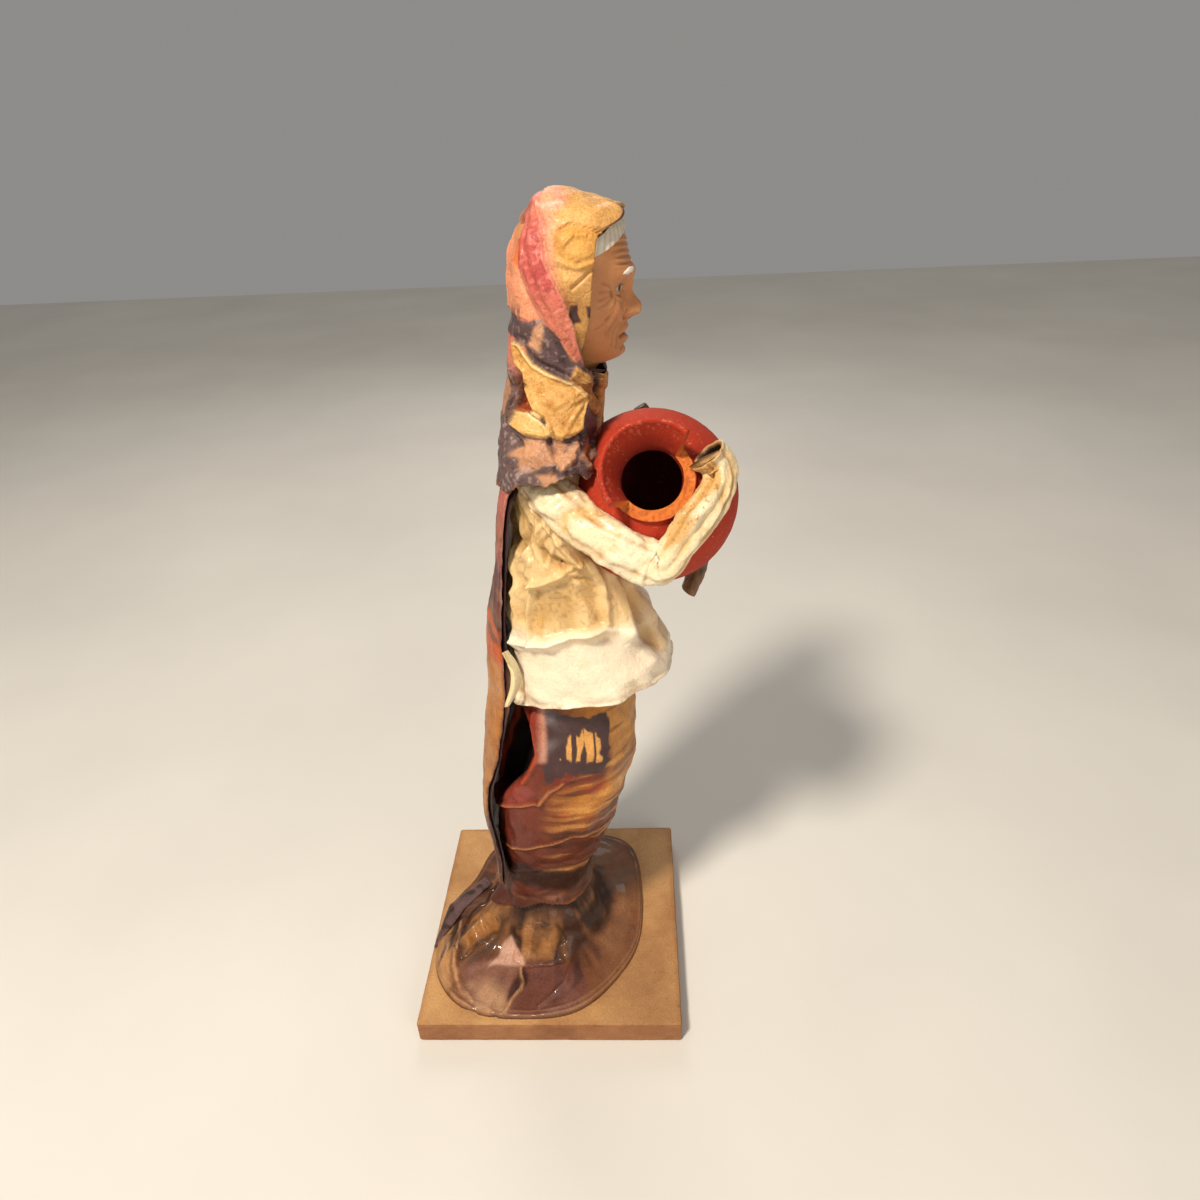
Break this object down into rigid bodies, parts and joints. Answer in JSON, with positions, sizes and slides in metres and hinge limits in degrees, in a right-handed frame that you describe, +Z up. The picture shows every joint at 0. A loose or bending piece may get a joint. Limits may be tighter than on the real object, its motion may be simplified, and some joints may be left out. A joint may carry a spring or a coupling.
{
  "type": "papier-mache figure",
  "caption": "Standing papier-mache figure of an elderly person in a hooded shawl, holding a broken round clay pot and a stick, on a square fibreboard base.",
  "frame": {"origin": "centre of the base board's underside", "axes": "+X the way the figure faces, +Y to the figure's left, +Z up"},
  "size_m": [0.1179, 0.1, 0.2882],
  "materials": {
    "board": "raw",
    "skirt_paper": "gloss",
    "cream_paper": "satin",
    "shawl_paper": "satin",
    "face_clay": "satin",
    "terracotta": "matte",
    "bark": "satin"
  },
  "bodies": {
    "root": {"base_board": "board", "skirt": "skirt_paper", "blouse": "cream_paper", "shawl": "shawl_paper", "shawl_back_panel": "shawl_paper", "head": "face_clay", "pot": "terracotta", "right_sleeve": "cream_paper", "left_sleeve": "cream_paper", "stick": "bark"}
  },
  "joints": []
}
